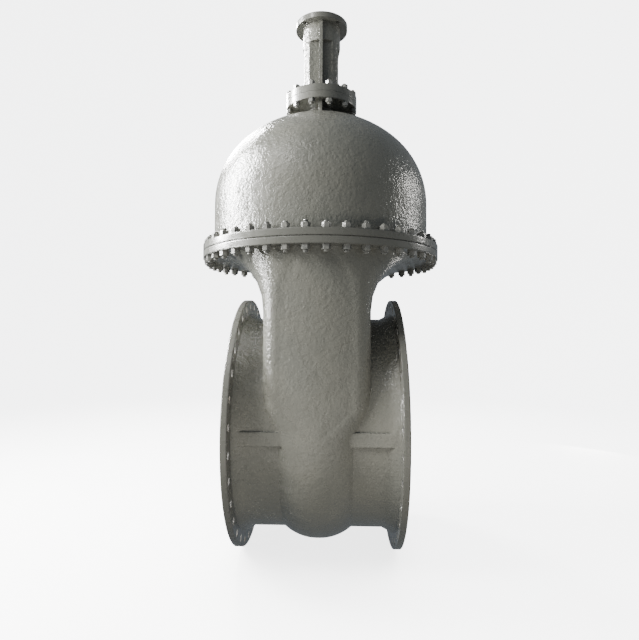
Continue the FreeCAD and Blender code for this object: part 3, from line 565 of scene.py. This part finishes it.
def nut_row(node, places, width, stud_radius, tip, pitch, up, slot):
    """Nuts in the places of a CAD node's hexagons, and the stud ends that stand out of them."""
    low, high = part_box(node)
    base, height = low[2], high[2] - low[2]
    sunk = height * 0.15  # how far inside its nut a stud end starts
    start = high[2] - sunk if up else low[2] + sunk
    nuts, ends = bmesh.new(), bmesh.new()
    for number, (x, y) in enumerate(places):
        center = (STEM_X + x, y)
        add_nut(nuts, center, math.atan2(y, x), width, base, height, up)
        standing_out = tip * (1 + 0.22 * math.sin(number * 2.4))  # a little different on each
        add_stud_end(ends, center, stud_radius, start, standing_out + sunk, pitch, up)
    name = node + "_hex"
    piece = new_piece(name, finish_mesh(nuts, name, NUT_BEND), FINISH[slot])
    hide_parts(node)
    name = node + "_stud_ends"
    new_piece(name, finish_mesh(ends, name, THREAD_BEND), FINISH[slot])


middle = oval_places(0.673, 0.04, 44)
neck = circle_places(0.200, 12)
gland = circle_places(0.061, 4)
for row in (
    # node, places, nut's width, stud's radius, its tip, its thread's pitch, nuts face up, slot
    ("bonnet_nuts_upper", middle, 0.041, 0.0135, 0.012, 0.003, True, "bolting"),
    ("bonnet_nuts_lower", middle, 0.041, 0.0135, 0.012, 0.003, False, "bolting"),
    ("yoke_nuts_upper", neck, 0.036, 0.012, 0.009, 0.003, True, "bolting"),
    ("yoke_nuts_lower", neck, 0.036, 0.012, 0.009, 0.003, False, "bolting"),
    ("gland_nuts", gland, 0.018, 0.006, 0.010, 0.0015, True, "plated_steel"),
):
    nut_row(*row)


# Floor, backdrop, light and camera

def stage_material():
    """Pale floor that glows by itself, with a painted shadow: it glows less close to the valve's
    feet.
    """
    paint = Paint("pale_floor", FLOOR_WHITE, 0.75, specular=0.2)
    clouds = paint.span(paint.noise(0.7, detail=2.0), 0.3, 0.7)
    paint.color(paint.mix(clouds, FLOOR_WHITE, FLOOR_LIGHTER))
    paint.shader.inputs["Emission Color"].default_value = (0.95, 0.955, 0.96, 1)
    # Painted shadow: ambient occlusion dims the floor's glow close to the valve.
    painted_shadow_ao = paint.node("ShaderNodeAmbientOcclusion", samples=8)
    painted_shadow_ao.inputs["Distance"].default_value = 0.8
    glow_with_painted_shadow = paint.span(painted_shadow_ao.outputs["AO"], 0.2, 1.0, 3.4, 5.4)
    paint.link(glow_with_painted_shadow, paint.shader.inputs["Emission Strength"])
    return paint.material


def make_stage():
    """A round floor that curves up into a backdrop on every side."""
    flat, curve, top = 7.0, 5.0, 22.0
    around, steps = 96, 12
    outline = [(3.0, 0.0), (flat, 0.0)]
    for step in range(1, steps + 1):
        angle = math.pi / 2 * step / steps
        outline.append((flat + curve * math.sin(angle), curve * (1 - math.cos(angle))))
    outline.append((flat + curve, top))
    work = bmesh.new()
    center = work.verts.new((STEM_X, 0, FLOOR_Z))
    previous = None
    for radius, z in outline:
        ring = []
        for i in range(around):
            angle = TURN * i / around
            ring.append(work.verts.new((
                STEM_X + radius * math.cos(angle), radius * math.sin(angle), FLOOR_Z + z)))
        if previous:
            bridge(work, previous, ring, True)
        else:
            for i in range(around):
                work.faces.new([center, ring[i], ring[(i + 1) % around]])
        previous = ring
    bmesh.ops.recalc_face_normals(work, faces=work.faces)
    mesh = bpy.data.meshes.new("floor")
    work.to_mesh(mesh)
    work.free()
    mesh.shade_smooth()
    mesh.materials.append(stage_material())
    item = bpy.data.objects.new("floor", mesh)
    item.visible_diffuse = False
    item.visible_glossy = False
    bpy.context.scene.collection.objects.link(item)


def area_light(name, place, target, width, height, power, color, mirrored, scattered):
    light = bpy.data.lights.new(name, "AREA")
    light.shape = "RECTANGLE"
    light.size, light.size_y = width, height
    light.energy = power
    light.color = color
    item = bpy.data.objects.new(name, light)
    item.location = place
    item.rotation_euler = (Vector(target) - Vector(place)).to_track_quat("-Z", "Y").to_euler()
    item.visible_camera = False
    item.visible_glossy = mirrored
    item.visible_diffuse = scattered
    bpy.context.scene.collection.objects.link(item)


make_stage()

PIPE = (STEM_X, 0, 0.1)
BARREL = (STEM_X, 0, 0.8)
FLANGE = (STEM_X, 0, 1.0)
BOTH, MATT, SHINE = (True, True), (False, True), (True, False)
LIGHTS = (
    # name, place, target, width, height, watts, colour, seen in shine and matt
    ("key", (-3.46, -2.27, 2.91), BARREL, 1.6, 1.8, 380, (1.0, 0.99, 0.97), MATT),
    ("sheen", (-2.2, -2.8, 3.9), BARREL, 3.0, 2.4, 22, (1.0, 0.99, 0.975), BOTH),
    ("glint", (-1.6, -2.4, 4.6), BARREL, 0.6, 0.6, 24, (1.0, 0.995, 0.98), BOTH),
    ("left_window", (-3.4, 0.35, 2.8), FLANGE, 1.5, 2.6, 560, (1.0, 0.997, 0.985), BOTH),
    ("left_shine", (-3.5, 0.45, 3.0), FLANGE, 0.8, 2.8, 1050, (1.0, 0.998, 0.99), SHINE),
    ("left_low", (-4.2, -1.3, 0.9), PIPE, 0.9, 0.9, 200, (1.0, 0.997, 0.985), BOTH),
    ("back_left", (-1.7, 3.2, 4.0), (STEM_X, 0, 1.2), 0.9, 1.5, 470, (1.0, 0.997, 0.985), BOTH),
    ("right_window", (4.5, 1.0, 2.5), (STEM_X, 0, 1.1), 0.26, 1.5, 50, (1.0, 0.98, 0.94), BOTH),
    ("right_low", (3.4, 2.6, -0.5), (0.9, -0.3, 0.9), 0.5, 0.3, 9, (1.0, 0.96, 0.9), BOTH),
    ("bounce", (0.7, -2.1, -0.6), PIPE, 2.4, 1.0, 34, (1.0, 0.94, 0.86), MATT),
    ("back_right", (3.0, 4.4, 3.4), FLANGE, 2.4, 1.6, 120, (1.0, 0.995, 0.98), MATT),
)
for *settings, seen_in in LIGHTS:
    area_light(*settings, *seen_in)

world = bpy.data.worlds.new("studio")
bpy.context.scene.world = world
world.use_nodes = True
sky = world.node_tree.nodes["Background"]
sky.inputs["Color"].default_value = (0.82, 0.91, 1.0, 1)
sky.inputs["Strength"].default_value = 0.21

# The camera fitted to the photograph: angles in radians, focal length in the picture's pixels.
YAW, PITCH, ROLL = -0.0342, 0.0223, 0.0047
FOCAL_PIXELS, PICTURE_WIDTH = 510.1231, 639
SENSOR_WIDTH = 36.0
CAMERA_PLACE = (STEM_X + 0.1024, -3.1523, 0.5371)

forward = Vector((
    math.sin(YAW) * math.cos(PITCH), math.cos(YAW) * math.cos(PITCH), math.sin(PITCH)))
right = Vector((math.cos(YAW), -math.sin(YAW), 0))
upwards = right.cross(forward)
turned_right = right * math.cos(ROLL) + upwards * math.sin(ROLL)
turned_up = upwards * math.cos(ROLL) - right * math.sin(ROLL)
lens = bpy.data.cameras.new("photo_camera")
lens.sensor_fit = "HORIZONTAL"
lens.sensor_width = SENSOR_WIDTH
lens.lens = FOCAL_PIXELS / PICTURE_WIDTH * SENSOR_WIDTH
camera = bpy.data.objects.new("photo_camera", lens)
axes = Matrix((turned_right, turned_up, -forward)).transposed()
camera.matrix_world = Matrix.Translation(CAMERA_PLACE) @ axes.to_4x4()
bpy.context.scene.collection.objects.link(camera)
bpy.context.scene.camera = camera
